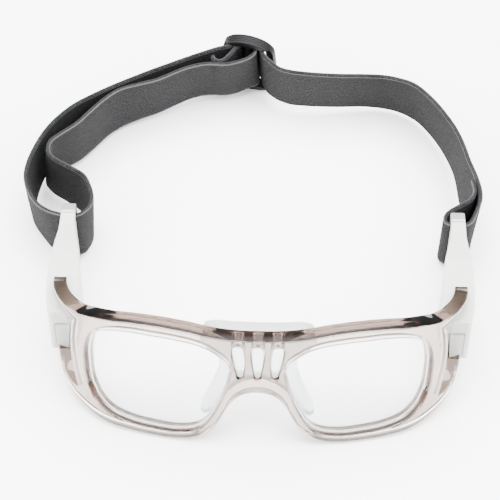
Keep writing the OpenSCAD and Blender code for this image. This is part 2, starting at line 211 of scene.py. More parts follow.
def millimetres(loop, sharp=True):
    return [(a * mm, b * mm, "sharp") if sharp else (a * mm, b * mm) for a, b in loop]


def box(low, high):
    low, high = Vector(low) * mm + shift, Vector(high) * mm + shift
    bpy.ops.object.select_all(action="DESELECT")
    bpy.ops.mesh.primitive_cube_add(size=1, location=(low + high) / 2, scale=high - low)
    bpy.ops.object.transform_apply(location=True, rotation=True, scale=True)
    return bpy.context.object


def rod(middle, radius, depth, sides=48):
    bpy.ops.object.select_all(action="DESELECT")
    bpy.ops.mesh.primitive_cylinder_add(vertices=sides, radius=radius, depth=depth, location=middle)
    bpy.ops.object.transform_apply(location=True, rotation=True, scale=True)
    return bpy.context.object


def mirrorCopy(piece, name):
    other = piece.copy()
    other.data = piece.data.copy()
    other.name = name
    bpy.context.collection.objects.link(other)
    for vertex in other.data.vertices:
        vertex.co.x = 2 * shift.x - vertex.co.x
    other.data.flip_normals()
    return other


# materials, each made by its own function
def newMaterial(name):
    material = bpy.data.materials.new(name)
    material.use_nodes = True
    shader = material.node_tree.nodes["Principled BSDF"]
    return material, material.node_tree, shader


def setInputs(node, **values):
    for key, value in values.items():
        node.inputs[key.replace("_", " ")].default_value = value


def addNode(tree, kind, **inputs):
    node = tree.nodes.new(kind)
    setInputs(node, **inputs)
    return node


def objectSpots(tree, scale=(1, 1, 1)):
    spots = tree.nodes.new("ShaderNodeTexCoord")
    mapping = addNode(tree, "ShaderNodeMapping", Scale=scale)
    tree.links.new(spots.outputs["Object"], mapping.inputs["Vector"])
    return mapping.outputs["Vector"]


def addBump(tree, shader, height, strength, distance):
    bump = addNode(tree, "ShaderNodeBump", Strength=strength, Distance=distance)
    tree.links.new(height, bump.inputs["Height"])
    tree.links.new(bump.outputs["Normal"], shader.inputs["Normal"])


# the wall colour is painted shade: the side walls of the clear front are painted darker brown to stand in for
# the dark edge lines that refraction shows
clearLook = {"tint": (0.59, 0.495, 0.445, 1), "density": 260, "ior": 1.56, "face": (1, 0.985, 0.97, 1),
             "wall": (0.27, 0.21, 0.185, 1)}


def clearPlastic():
    material, tree, shader = newMaterial("smokeClearPlastic")
    setInputs(shader, Roughness=0.03, IOR=clearLook["ior"], Transmission_Weight=1)
    # painted shade: faces marked as side walls blend from the face colour to the darker wall colour
    wall = tree.nodes.new("ShaderNodeAttribute")
    wall.attribute_name = "wall"
    color = tree.nodes.new("ShaderNodeMixRGB")
    color.inputs["Color1"].default_value = clearLook["face"]
    color.inputs["Color2"].default_value = clearLook["wall"]
    tree.links.new(wall.outputs["Fac"], color.inputs["Fac"])
    tree.links.new(color.outputs["Color"], shader.inputs["Base Color"])
    noise = addNode(tree, "ShaderNodeTexNoise", Scale=180, Detail=3)
    tree.links.new(objectSpots(tree), noise.inputs["Vector"])
    rough = addNode(tree, "ShaderNodeMapRange", To_Min=0.015, To_Max=0.05)
    tree.links.new(noise.outputs["Fac"], rough.inputs["Value"])
    tree.links.new(rough.outputs["Result"], shader.inputs["Roughness"])
    soak = addNode(tree, "ShaderNodeVolumeAbsorption", Color=clearLook["tint"], Density=clearLook["density"])
    out = tree.nodes["Material Output"]
    tree.links.new(soak.outputs["Volume"], out.inputs["Volume"])
    return material


def lensGlass():
    material, tree, shader = newMaterial("clearLens")
    setInputs(shader, Base_Color=(0.97, 0.985, 0.99, 1), Roughness=0.0, IOR=1.5, Transmission_Weight=1)
    return material


def silicone():
    material, tree, shader = newMaterial("softSilicone")
    setInputs(shader, Base_Color=(0.93, 0.95, 0.955, 1), Roughness=0.35, IOR=1.41, Transmission_Weight=0.75)
    noise = addNode(tree, "ShaderNodeTexNoise", Scale=900, Detail=2)
    tree.links.new(objectSpots(tree), noise.inputs["Vector"])
    addBump(tree, shader, noise.outputs["Fac"], 0.15, 0.1 * mm)
    return material


# end is painted shade: a dark grey for the strap seen through the arm's thin end, not the plastic's own
# colour
armLook = {"color": (0.50, 0.53, 0.485, 1), "end": (0.2, 0.2, 0.2, 1), "endShadeFrom": 76.2 * mm, "rough": 0.36,
           "through": 0.12}


def milkyPlastic():
    material, tree, shader = newMaterial("milkyArmPlastic")
    setInputs(shader, Roughness=armLook["rough"], IOR=1.48,
              Transmission_Weight=armLook["through"], Subsurface_Weight=0.5, Subsurface_Scale=3 * mm,
              Subsurface_Radius=(1, 1, 0.9))
    spots = objectSpots(tree)
    # painted shade: the thin end behind the slot is painted dark grey to stand in for the strap that shows
    # darker through it
    parted = tree.nodes.new("ShaderNodeSeparateXYZ")
    tree.links.new(spots, parted.inputs["Vector"])
    start = armLook["endShadeFrom"] + shift.y
    endShade = addNode(tree, "ShaderNodeMapRange", From_Min=start, From_Max=start + 0.5 * mm)
    tree.links.new(parted.outputs["Y"], endShade.inputs["Value"])
    color = tree.nodes.new("ShaderNodeMixRGB")
    color.inputs["Color1"].default_value = armLook["color"]
    color.inputs["Color2"].default_value = armLook["end"]
    tree.links.new(endShade.outputs["Result"], color.inputs["Fac"])
    tree.links.new(color.outputs["Color"], shader.inputs["Base Color"])
    noise = addNode(tree, "ShaderNodeTexNoise", Scale=1400, Detail=2)
    tree.links.new(spots, noise.inputs["Vector"])
    addBump(tree, shader, noise.outputs["Fac"], 0.12, 0.08 * mm)
    return material


# selvedge is a painted highlight: a lighter grey line near both edges of the webbing, where the edge catches
# the light
webLook = {"dark": (0.005, 0.005, 0.0055, 1), "light": (0.042, 0.042, 0.043, 1),
           "selvedge": (0.06, 0.06, 0.062, 1), "wide": 25.0, "highlightFrom": 0.55, "highlightTo": 1.05, "knit": 2.6}


def webbing():
    # its map runs in millimetres: along the webbing, and round its section
    material, tree, shader = newMaterial("elasticWebbing")
    setInputs(shader, Roughness=0.85, Specular_IOR_Level=0.12)
    spots = tree.nodes.new("ShaderNodeTexCoord")
    mapping = addNode(tree, "ShaderNodeMapping", Scale=(webLook["knit"], webLook["knit"] * 0.45, 1))
    tree.links.new(spots.outputs["UV"], mapping.inputs["Vector"])
    knit = addNode(tree, "ShaderNodeTexNoise", Scale=1.0, Detail=3, Roughness=0.7)
    tree.links.new(mapping.outputs["Vector"], knit.inputs["Vector"])
    shade = addNode(tree, "ShaderNodeMapRange", From_Min=0.42, From_Max=0.78)
    tree.links.new(knit.outputs["Fac"], shade.inputs["Value"])
    body = tree.nodes.new("ShaderNodeMixRGB")
    body.inputs["Color1"].default_value = webLook["dark"]
    body.inputs["Color2"].default_value = webLook["light"]
    tree.links.new(shade.outputs["Result"], body.inputs["Fac"])
    # painted highlight: a lighter band a little in from each edge of the webbing
    around = tree.nodes.new("ShaderNodeSeparateXYZ")
    tree.links.new(spots.outputs["UV"], around.inputs["Vector"])
    inFromEdge = tree.nodes.new("ShaderNodeMath")
    inFromEdge.operation = "PINGPONG"
    inFromEdge.inputs[1].default_value = webLook["wide"] / 2
    tree.links.new(around.outputs["Y"], inFromEdge.inputs[0])
    edgeHighlightBand = tree.nodes.new("ShaderNodeMath")
    edgeHighlightBand.operation = "COMPARE"
    edgeHighlightBand.inputs[1].default_value = (webLook["highlightFrom"] + webLook["highlightTo"]) / 2
    edgeHighlightBand.inputs[2].default_value = (webLook["highlightTo"] - webLook["highlightFrom"]) / 2
    tree.links.new(inFromEdge.outputs["Value"], edgeHighlightBand.inputs[0])
    whole = tree.nodes.new("ShaderNodeMixRGB")
    whole.inputs["Color2"].default_value = webLook["selvedge"]
    tree.links.new(edgeHighlightBand.outputs["Value"], whole.inputs["Fac"])
    tree.links.new(body.outputs["Color"], whole.inputs["Color1"])
    tree.links.new(whole.outputs["Color"], shader.inputs["Base Color"])
    addBump(tree, shader, knit.outputs["Fac"], 0.8, 0.25 * mm)
    return material


def frostedPlastic():
    material, tree, shader = newMaterial("frostedKnuckle")
    setInputs(shader, Base_Color=(0.46, 0.46, 0.44, 1), Roughness=0.5, IOR=1.5, Transmission_Weight=0.25,
              Subsurface_Weight=0.4, Subsurface_Scale=2 * mm, Subsurface_Radius=(1, 1, 1))
    noise = addNode(tree, "ShaderNodeTexNoise", Scale=1600, Detail=2)
    tree.links.new(objectSpots(tree), noise.inputs["Vector"])
    addBump(tree, shader, noise.outputs["Fac"], 0.2, 0.06 * mm)
    return material


def steel():
    material, tree, shader = newMaterial("pinSteel")
    setInputs(shader, Base_Color=(0.6, 0.6, 0.62, 1), Roughness=0.28, Metallic=1)
    noise = addNode(tree, "ShaderNodeTexNoise", Scale=600, Detail=4)
    tree.links.new(objectSpots(tree, (1, 1, 0.05)), noise.inputs["Vector"])
    addBump(tree, shader, noise.outputs["Fac"], 0.2, 0.03 * mm)
    return material


def sliderPlastic():
    material, tree, shader = newMaterial("sliderPlastic")
    setInputs(shader, Base_Color=(0.004, 0.004, 0.0045, 1), Roughness=0.55, Specular_IOR_Level=0.14)
    noise = addNode(tree, "ShaderNodeTexNoise", Scale=2200, Detail=3)
    tree.links.new(objectSpots(tree), noise.inputs["Vector"])
    addBump(tree, shader, noise.outputs["Fac"], 0.3, 0.06 * mm)
    return material


clear, lensMaterial = clearPlastic(), lensGlass()
pad, milky, frosted = silicone(), milkyPlastic(), frostedPlastic()
web, pinSteel, dark = webbing(), steel(), sliderPlastic()
print("materials made")


def finishPiece(piece, material, body, slotName, *nodes):
    piece.data.materials.clear()
    piece.data.materials.append(material)
    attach(piece, body)
    if nodes:
        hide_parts(*nodes)


# camera, floor and light
view = {"az": math.radians(1.40), "el": math.radians(50), "away": 0.7, "lens": 133.6,
        "roll": math.radians(0.35), "aim": (-4.8 * mm, 83.6 * mm, 0)}
target = Vector(view["aim"]) + shift
back = Vector((math.sin(view["az"]) * math.cos(view["el"]), -math.cos(view["az"]) * math.cos(view["el"]),
               math.sin(view["el"])))
bpy.ops.object.camera_add(location=target + back * view["away"])
camera = bpy.context.object
camera.name = "mainCamera"
level = back.to_track_quat("Z", "Y").to_matrix()
camera.rotation_euler = (Matrix.Rotation(view["roll"], 3, back) @ level).to_euler()
camera.data.lens = view["lens"]
camera.data.sensor_width = 36
camera.data.clip_start = 0.01
bpy.context.scene.camera = camera

bpy.ops.mesh.primitive_plane_add(size=3, location=(0, 0, 0))
floor = bpy.context.object
floor.name = "floor"
floorMaterial, _, floorShader = newMaterial("paleFloor")
setInputs(floorShader, Base_Color=(0.94, 0.94, 0.94, 1), Roughness=0.9, Specular_IOR_Level=0.1)
floor.data.materials.append(floorMaterial)

world = bpy.data.worlds.new("studio")
bpy.context.scene.world = world
world.use_nodes = True
sky = {"bright": 5.0, "darkBelow": 0.45, "brightAbove": 0.75, "dark": 0.35}
worldTree = world.node_tree
direction = worldTree.nodes.new("ShaderNodeTexCoord")
heightOnly = worldTree.nodes.new("ShaderNodeSeparateXYZ")
fade = addNode(worldTree, "ShaderNodeMapRange", From_Min=sky["darkBelow"], From_Max=sky["brightAbove"],
               To_Min=sky["dark"], To_Max=sky["bright"])
worldTree.links.new(direction.outputs["Generated"], heightOnly.inputs["Vector"])
worldTree.links.new(heightOnly.outputs["Z"], fade.inputs["Value"])
worldTree.links.new(fade.outputs["Result"], worldTree.nodes["Background"].inputs["Strength"])
worldTree.nodes["Background"].inputs["Color"].default_value = (1, 1, 1, 1)
lamps = [  # name, place, size, watts
    ("topLight", (0.0, 0.1, 1.1), 1.2, 76),
    ("leftLight", (-0.9, -0.5, 0.7), 0.7, 26),
    ("rightLight", (0.9, -0.3, 0.8), 0.7, 26),
]
for name, spot, size, watts in lamps:
    bpy.ops.object.light_add(type="AREA", location=spot)
    lamp = bpy.context.object
    lamp.name = name
    lamp.data.size = size
    lamp.data.energy = watts
    lamp.rotation_euler = Vector(spot).to_track_quat("Z", "Y").to_euler()
print("camera, floor and light set")

# the clear front, its hinge knuckles and the lenses
front = {"edge": 0.45 * mm, "lensEdge": 0.8 * mm, "grooveGap": 0.1 * mm, "lensFrom": 2.1 * mm,
         "lensThick": 2 * mm, "lensRound": 0.12 * mm, "slotPitch": 6.8, "slotHalf": 2.1, "slotLean": 0.9,
         "slotLowHalf": 0.88, "slice": 1.4 * mm}


def frontSpots(spots):
    # design points in mm: across and up, or back and up where marked
    made = []
    for spot in spots:
        run = runBack(spot[0] * mm) if "back" in spot else runAcross(spot[0] * mm)
        made.append((run, spot[1] * mm, "sharp") if "sharp" in spot else (run, spot[1] * mm))
    return made


halfFront = frontSpots([
    (0, 46.3), (8, 46.4), (15, 47), (26, 48.8), (38, 49.4), (51, 48.4), (58, 47.1),
    (14, 45.8, "back"), (24, 44.0, "back"), (35.2, 42.1, "back", "sharp"), (35.8, 41.5, "back", "sharp"),
    (38.6, 41, "back", "sharp"), (38.6, 38.9, "back", "sharp"), (31.2, 39.7, "back"), (21, 41, "back"),
    (15.9, 40.4, "back", "sharp"), (17, 34, "back"), (17.4, 28, "back"), (16.8, 20, "back"),
    (15, 11.2, "back", "sharp"), (18, 11, "back"), (23.3, 12.4, "back"), (26.2, 15, "back"),
    (28.2, 20.4, "back"), (31, 25, "back", "sharp"), (33, 24, "back", "sharp"), (32.4, 19, "back", "sharp"),
    (28.8, 17.2, "back"), (27.4, 14, "back"), (24.9, 11, "back"), (21.4, 8.2, "back"), (18, 6.6, "back"),
    (60, 4.2), (55, 2.4), (46, 0.9), (36.5, 0), (27, 0.1), (21, 1.4), (15.9, 4.8), (12.4, 11),
    (9.4, 17.6), (6.2, 21.6), (2.5, 23.4), (0, 23.6)])
openingMiddle = (runAcross(35 * mm), 25 * mm)
opening = frontSpots([
    (9.9, 34.8), (14.4, 39.8), (19.4, 42.6), (27.8, 44.3), (36.5, 44.8), (44, 44.9), (51, 43.6),
    (56.5, 39.6), (59, 33), (59.6, 24), (58.4, 15), (54, 8), (46, 4.4), (36.5, 3), (27, 2.9),
    (20.6, 5), (17.2, 8.6), (14.4, 14), (12.2, 20), (10.4, 27)])


def slotLoop(k, shrink=0):
    # one of the three tapered slots through the bridge
    x, lean = k * front["slotPitch"], -k * front["slotLean"]
    wide, low = front["slotHalf"] - shrink, front["slotLowHalf"] - shrink / 2
    return frontSpots([
        (x - wide, 42.8 - shrink), (x - wide + 0.6, 43.4 - shrink), (x + wide - 0.6, 43.4 - shrink),
        (x + wide, 42.8 - shrink), (x + lean + low + 0.5, 31.8), (x + lean + low, 29.8 + shrink),
        (x + lean - low, 29.8 + shrink), (x + lean - low - 0.5, 31.8)])


def frontWall(co):
    wall = wallAt(co.x)
    return onWrap(co.x, wall * (0.5 - co.z / wrap["rim"]), co.y)


def bentPlate(name, loops, thick, edge, depth, step=front["slice"], **options):
    # a plate bent to the wrap, with its outer face at that depth
    piece = plate(name, loops, thick, edge, **options)
    sliceAlong(piece, 0, step)
    reshape(piece, lambda co: onWrap(co.x, depth + thick / 2 - co.z, co.y))
    return piece


def makeFront():
    loops = [mirrored(halfFront), opening, flippedLoop(opening)] + [slotLoop(k) for k in (-1, 0, 1)]
    piece = plate("clearFront", loops, wrap["rim"], front["edge"])
    sliceAlong(piece, 0, front["slice"])
    reshape(piece, frontWall)
    return piece


clearFront = makeFront()


def openingGrown(side, by):
    return grown(side, (math.copysign(openingMiddle[0], side[0][0]), openingMiddle[1]), by)


for side in (opening, flippedLoop(opening)):
    gap = front["grooveGap"]
    groove = bentPlate("groove", [openingGrown(side, front["lensEdge"] + gap)], front["lensThick"] + 2 * gap,
                       gap, front["lensFrom"] - gap)
    join(clearFront, groove, "DIFFERENCE")


knuckle = {"across": 68.9, "back": 31.9, "half": 2.1, "reach": 6.2, "low": 13, "high": 25, "bore": 1.05,
           "gap": 0.3, "round": 0.2}
armRoom = {"out": 71.3, "front": 26.7, "low": 10.2, "high": 31.8, "past": 85, "deep": 39}


def sideBox(side, low, high):
    # a box in design millimetres, turned over to the left for side -1
    a, b = sorted((side * low[0], side * high[0]))
    return box((a, *low[1:]), (b, *high[1:]))


def makeKnuckle(side, name):
    x, y, half = knuckle["across"], knuckle["back"], knuckle["half"]
    low, high = knuckle["low"], knuckle["high"]
    middle = Vector((side * x, y, (low + high) / 2)) * mm + shift
    tall = (high - low) * mm
    piece = sideBox(side, (x - half, y - knuckle["reach"], low), (x + half, y, high))
    piece.name = name
    join(piece, rod(middle, half * mm, tall), "UNION")
    join(piece, rod(middle, knuckle["bore"] * mm, tall + 2 * mm), "DIFFERENCE")
    bevel = piece.modifiers.new("rounded", "BEVEL")
    bevel.width, bevel.segments, bevel.limit_method = knuckle["round"] * mm, 2, "ANGLE"
    applyModifiers(piece)
    smooth(piece)
    return piece


for side in (-1, 1):
    # room for the arm beside the front; the knuckle is set into the branch
    gap = knuckle["gap"]
    start, past, deep = armRoom["front"] - gap, armRoom["past"], armRoom["deep"]
    join(clearFront, sideBox(side, (armRoom["out"] - gap, start, armRoom["low"] - gap),
                             (past, deep, armRoom["high"] + gap)), "DIFFERENCE")
    piece = makeKnuckle(side, "hingeKnuckleRight" if side > 0 else "hingeKnuckleLeft")
    finishPiece(piece, frosted, "front", "clear_front", "frame")


def markShadedWalls(piece):
    # how far each face is a side wall of the plate and not its front or back; the clear plastic paints these
    # walls darker brown as painted shade for the dark refracted edge lines
    unlean = Matrix.Rotation(place["lean"], 3, "X")
    foot = Vector((0, place["frontBack"], place["frontUp"])) + shift
    values = []
    for polygon in piece.data.polygons:
        spot, normal = unlean @ (polygon.center - foot), unlean @ polygon.normal
        middle = Vector((0, wrap["middle"]))
        if abs(spot.x) > wrap["cornerFrom"]:
            middle = Vector((math.copysign(cornerX, spot.x), cornerY))
        out = (Vector((spot.x, spot.y)) - middle).normalized()
        values.append(max(0.0, 1 - 1.25 * abs(out.x * normal.x + out.y * normal.y)))
    wall = piece.data.attributes.new("wall", "FLOAT", "FACE")
    wall.data.foreach_set("value", values)


smooth(clearFront)
markShadedWalls(clearFront)
finishPiece(clearFront, clear, "front", "clear_front", "frame")
print("front made,", len(clearFront.data.polygons), "faces")

lensSides = (("lensRight", opening, "lens_right"), ("lensLeft", flippedLoop(opening), "lens_left"))
for name, side, node in lensSides:
    lens = bentPlate(name, [openingGrown(side, front["lensEdge"])], front["lensThick"], front["lensRound"],
                     front["lensFrom"])
    smooth(lens)
    finishPiece(lens, lensMaterial, "front", "lens", node)
print("lenses made")

# arms and hinge pins
arm = {"voxel": 0.38 * mm, "soften": 5, "pin": 1.0 * mm, "pinGap": 0.01 * mm, "pinRound": 0.25 * mm,
       "slotBack": 76.99, "slotWide": 2.2, "slotTall": 26, "slotUp": 14.4, "slotLean": math.radians(5),
       "forkLow": 12.7, "forkHigh": 25.3, "forkRound": 2.4, "bar": (75.1, 75.6, 27.9)}
armPlan = [(63.2, 29.7), (64.4, 27.6), (66.4, 26.7), (72.6, 26.7), (73.4, 27.5), (74.6, 34.7), (75, 42.7),
           (74.8, 50.7), (74.1, 60.3), (73.5, 66.3), (73.3, 81.6), (72.6, 82.4), (68.9, 82.4), (68.2, 81.6),
           (68.1, 70.3), (67.2, 65.3), (65.2, 56.3), (63.9, 47.3), (63.2, 38.3)]
armSide = [(25.7, 12.4), (27.6, 10.4), (35.7, 10.2), (45.7, 6.9), (55.7, 3.1), (64.7, 0.6), (69.7, 0),
           (82.4, 0), (79.9, 28.6), (69.7, 28.8), (55.7, 31.4), (41.7, 31.8), (25.7, 31.8)]
hingeSpot = Vector((68.9 * mm, 31.9 * mm, 0)) + shift


def makeArm():
    piece = plate("armRight", [millimetres(armSide)], 30 * mm, 0.05 * mm, steps=1, rounds=1)
    reshape(piece, lambda co: Vector((70 * mm + co.z, co.x, co.y)) + shift)
    plan = plate("armPlan", [millimetres(armPlan)], 60 * mm, 0.05 * mm, steps=1, rounds=1)
    reshape(plan, lambda co: Vector((co.x, co.y, co.z + 15 * mm)) + shift)
    join(piece, plan, "INTERSECT")
    # the leaning slot that the strap passes through
    half, tall = arm["slotWide"] / 2, arm["slotTall"] / 2
    low, high = arm["slotUp"] - tall, arm["slotUp"] + tall
    slot = box((58.9, arm["slotBack"] - half, low), (78.9, arm["slotBack"] + half, high))
    turn = Matrix.Rotation(arm["slotLean"], 4, "X")
    middle = Vector((68.9, arm["slotBack"], arm["slotUp"])) * mm + shift
    slot.data.transform(Matrix.Translation(middle) @ turn @ Matrix.Translation(-middle))
    join(piece, slot, "DIFFERENCE")
    # the fork round the knuckle, open to the front and the inside
    low, high = arm["forkLow"], arm["forkHigh"]
    join(piece, box((51.3, 21.7, low), (71.3, 31.9, high)), "DIFFERENCE")
    join(piece, box((46.5, 31.8, low), (66.5, 34.2, high)), "DIFFERENCE")
    ahead = rod(hingeSpot + Vector((0, 0, (low + high) / 2 * mm)), arm["forkRound"] * mm, (high - low) * mm)
    join(piece, ahead, "DIFFERENCE")
    remesh = piece.modifiers.new("even", "REMESH")
    remesh.mode, remesh.voxel_size = "VOXEL", arm["voxel"]
    soften = piece.modifiers.new("soften", "SMOOTH")
    soften.iterations, soften.factor = arm["soften"], 0.6
    applyModifiers(piece)
    join(piece, rod(hingeSpot + Vector((0, 0, 20.5 * mm)), arm["pin"], 21 * mm), "DIFFERENCE")
    # the groove across the arm's top, in front of the end bar
    start, end, floorAt = arm["bar"]
    join(piece, box((60, start, floorAt), (80, end, 30)), "DIFFERENCE")
    pick(piece)
    bpy.ops.object.shade_smooth_by_angle(angle=math.radians(50))
    return piece


armRight = makeArm()
armLeft = mirrorCopy(armRight, "armLeft")
finishPiece(armRight, milky, "right_arm", "milky_arm", "arm_right")
finishPiece(armLeft, milky, "left_arm", "milky_arm", "arm_left")


def makePin():
    piece = rod(hingeSpot + Vector((0, 0, 20.6 * mm)), arm["pin"] - arm["pinGap"], 20.4 * mm)
    piece.name = "hingePinRight"
    bevel = piece.modifiers.new("rounded", "BEVEL")
    bevel.width, bevel.segments, bevel.limit_method = arm["pinRound"], 3, "ANGLE"
    applyModifiers(piece)
    smooth(piece)
    return piece


pinRight = makePin()
pinLeft = mirrorCopy(pinRight, "hingePinLeft")
finishPiece(pinRight, pinSteel, "right_arm", "pin_steel", "hinge_pin_right")
finishPiece(pinLeft, pinSteel, "left_arm", "pin_steel", "hinge_pin_left")
print("arms and pins made,", len(armRight.data.polygons), "faces each")

# nose pad
nosePad = {"from": 6.25 * mm, "to": 12.2 * mm, "edge": 1.4 * mm, "pegFrom": 0.7 * mm, "pegGap": 0.4,
           "pegInto": 1.6 * mm, "pegRound": 0.3 * mm, "pegSlice": 0.7 * mm}
halfPad = [(0, 45.6), (9, 45.6), (17.4, 45.4), (19.6, 44), (19.9, 40.8), (17.6, 37.9), (14.6, 35),
           (13.7, 30), (15.6, 22), (18.6, 14), (20.3, 9.8), (19.6, 7.8), (17.7, 7.8), (14.6, 12),
           (11.4, 18), (8.2, 22.4), (4.6, 25.2), (0, 26.4)]


def makeNosePad():
    piece = bentPlate("nosePad", [mirrored(frontSpots(halfPad))], nosePad["to"] - nosePad["from"],
                      nosePad["edge"], nosePad["from"], rounds=5)
    for k in (-1, 0, 1):
        thick = nosePad["from"] + nosePad["pegInto"] - nosePad["pegFrom"]
        peg = bentPlate("peg", [slotLoop(k, nosePad["pegGap"])], thick, nosePad["pegRound"],
                        nosePad["pegFrom"], step=nosePad["pegSlice"])
        join(piece, peg, "UNION")
    smooth(piece, 50)
    return piece


padPiece = makeNosePad()
finishPiece(padPiece, pad, "front", "silicone", "nose_pad")
print("nose pad made")

# slider
slider = {"at": (-6.4, 170.8), "turn": math.radians(-15), "lean": math.radians(12), "length": 20.6,
          "thick": 4.4, "tall": 32.46, "crown": 7, "endBar": 3, "centreBar": 2.6, "up": 0.557, "groove": 0.22}


def sliderLoop(shrink=0.0):
    halfLong, low, high = slider["length"] / 2 - shrink, slider["crown"], slider["tall"] - slider["crown"]
    loop = []
    for k in range(13):
        turn = math.pi * k / 12
        loop.append((halfLong * math.cos(turn), high + (slider["crown"] - shrink) * math.sin(turn)))
    for k in range(13):
        turn = math.pi + math.pi * k / 12
        loop.append((halfLong * math.cos(turn), low + (slider["crown"] - shrink) * math.sin(turn)))
    return [(a * mm, b * mm) for a, b in loop]


def sliderBox(low, high):
    middle, size = (Vector(low) + Vector(high)) / 2 * mm, (Vector(high) - Vector(low)) * mm
    bpy.ops.object.select_all(action="DESELECT")
    bpy.ops.mesh.primitive_cube_add(size=1, location=middle, scale=size)
    bpy.ops.object.transform_apply(location=True, rotation=True, scale=True)
    return bpy.context.object


def standSlider(piece):
    # from its own upright place to its place in the frame
    at = Vector((slider["at"][0] * mm, slider["at"][1] * mm, slider["up"] * mm)) + shift
    piece.data.transform(Matrix.Translation(at) @ Matrix.Rotation(slider["turn"], 4, "Z")
                         @ Matrix.Rotation(slider["lean"], 4, "X"))


def makeSlider():
    piece = plate("strapSlider", [sliderLoop()], slider["thick"] * mm, 0.55 * mm, steps=3, rounds=4)
    reshape(piece, lambda co: Vector((co.x, -co.z, co.y)))
    for depth in (-1.1, -0.35, 0.4, 1.15):
        ring = plate("groove", [[(a * 1.3, b * 1.3 - 0.15 * slider["tall"] * mm) for a, b in sliderLoop()],
                                sliderLoop(slider["groove"])], 0.22 * mm, 0.02 * mm, steps=3, rounds=1)
        reshape(ring, lambda co: Vector((co.x, depth * mm - co.z, co.y)))
        join(piece, ring, "DIFFERENCE")
    half, top = slider["length"] / 2, slider["tall"] - slider["endBar"]
    bar, low = slider["centreBar"] / 2, slider["endBar"]
    for side in (-1, 1):
        a, b = sorted((side * bar, side * (half - 3)))
        join(piece, sliderBox((a, -5, low), (b, 5, top)), "DIFFERENCE")
        a, b = sorted((side * (half - 4.5), side * (half + 1.5)))
        join(piece, sliderBox((a, -5, low), (b, -1, top)), "DIFFERENCE")
        a, b = sorted((side * 1.2, side * 4))
        join(piece, sliderBox((-1.8, a, low), (1.8, b, top)), "DIFFERENCE")
    bevel = piece.modifiers.new("rounded", "BEVEL")
    bevel.width, bevel.segments = slider["groove"] * mm, 2
    bevel.limit_method, bevel.angle_limit = "ANGLE", math.radians(50)
    applyModifiers(piece)
    standSlider(piece)
    smooth(piece, 40)
    return piece


strapSlider = makeSlider()
finishPiece(strapSlider, dark, "adjuster", "slider_plastic", "slider")
print("slider made,", len(strapSlider.data.polygons), "faces")

# strap: each row is the lower edge and the upper edge, in design millimetres
strap = {"wide": 25.0, "thick": 1.5, "up": 1.9, "rise": 2.244, "riseFrom": 60, "riseTo": 16,
         "ribs": 24, "ribDeep": 0.13, "perRib": 4, "selvedge": 1.3, "step": 1.6}
slotLow, slotHigh = 78.08, 75.9
sliderAt = Vector(slider["at"])
along = Vector((math.cos(slider["turn"]), math.sin(slider["turn"])))
behind = Vector((-along.y, along.x))
leanBy = -strap["wide"] * math.sin(slider["lean"]) * behind


def atSlider(s, n):
    low = sliderAt + s * along + (n - 0.8) * behind
    return (*low, *(low + leanBy))


rightEnd = [[74.8, 98, 77.3, 97.5], [75, 93, 78, 92.5], [74.4, 89.5, 76.4, 88.5],
    [72.2, 87, 72.8, 85.6], [68.9, 85, 69.4, 83.2], [66.4, 82.2, 66.9, 80.6],
    [66.2, slotLow + 1.9, 66.3, slotHigh + 1.9], [67.2, slotLow + 0.3, 67.2, slotHigh + 0.3],
    [69, slotLow, 69, slotHigh],
    [72.4, slotLow, 72.4, slotHigh], [74.9, slotLow + 0.5, 74.9, slotHigh + 0.5],
    [76.2, 81.6, 76.6, 79.2], [77, 85, 78.6, 84.2]]
rightRun = [[77.6, 89.5, 79.8, 88.7], [77.4, 94, 79.9, 93.6], [76.4, 101, 78.4, 101],
    [75.3, 109, 76.4, 108], [74.6, 117.5, 74.6, 116], [73.2, 125.5, 71.6, 125],
    [69.7, 135.5, 66.6, 135], [65.4, 144, 62, 142], [60.1, 151.4, 57, 147.6],
    [53.1, 156.4, 51, 150.6], [46, 158.4, 45, 151.9], [38, 158.7, 37.6, 151.8],
    [28.5, 157.6, 28.2, 150.9], [19.7, 157, 19, 150.6], [13.1, 157, 12.2, 150.9],
    [9.1, 157.4, 8.3, 151.4], [5.1, 159.2, 4.6, 152.8], [2.2, 161.4, 2, 155.2]]
throughSlider = [atSlider(8.4, -4.4), atSlider(6.9, -2.7), atSlider(5.4, -0.6),
    atSlider(4.1, 2), atSlider(2.2, 4), atSlider(0, 4.6), atSlider(-2.2, 4),
    atSlider(-4.1, 2), atSlider(-5.3, -0.4), atSlider(-7, -2.5), atSlider(-9.4, -3.6)]
outerRun = [[-25, 166.8, -26, 160.4], [-36.4, 160.9, -37.4, 154.8], [-47.4, 155, -48, 149.6],
    [-58, 149, -58, 144], [-66.6, 142.6, -66, 138.4], [-74.4, 135.4, -73.8, 132],
    [-80.8, 127.4, -79.8, 124.6], [-84.4, 120.8, -83.8, 117.4], [-86.4, 114, -86.4, 110.2],
    [-87.6, 107, -88.2, 103], [-87.9, 100.6, -88.8, 96.6], [-87.2, 95, -87.9, 91],
    [-85.2, 90.4, -86, 86.2], [-82, 85.6, -82.8, 81.2], [-78.6, 81, -78.7, 78],
    [-75.2, slotLow + 0.6, -75.2, slotHigh + 0.7]]
leftEnd = [[-72.4, slotLow, -72.4, slotHigh], [-69, slotLow, -69, slotHigh],
    [-67.2, slotLow + 0.3, -67.2, slotHigh + 0.3], [-66.2, slotLow + 1.9, -65.6, slotHigh + 1.7],
    [-65, 83, -63.6, 80.4], [-64.6, 87, -63, 85],
    [-65.6, 92.8, -64.5, 90.6], [-69.2, 99.2, -67.4, 96.2], [-75.4, 104.4, -73.8, 100.6],
    [-80.6, 108.2, -79.4, 104.4], [-83.9, 112.6, -81.6, 108.2], [-83.8, 117, -81.2, 112.8]]
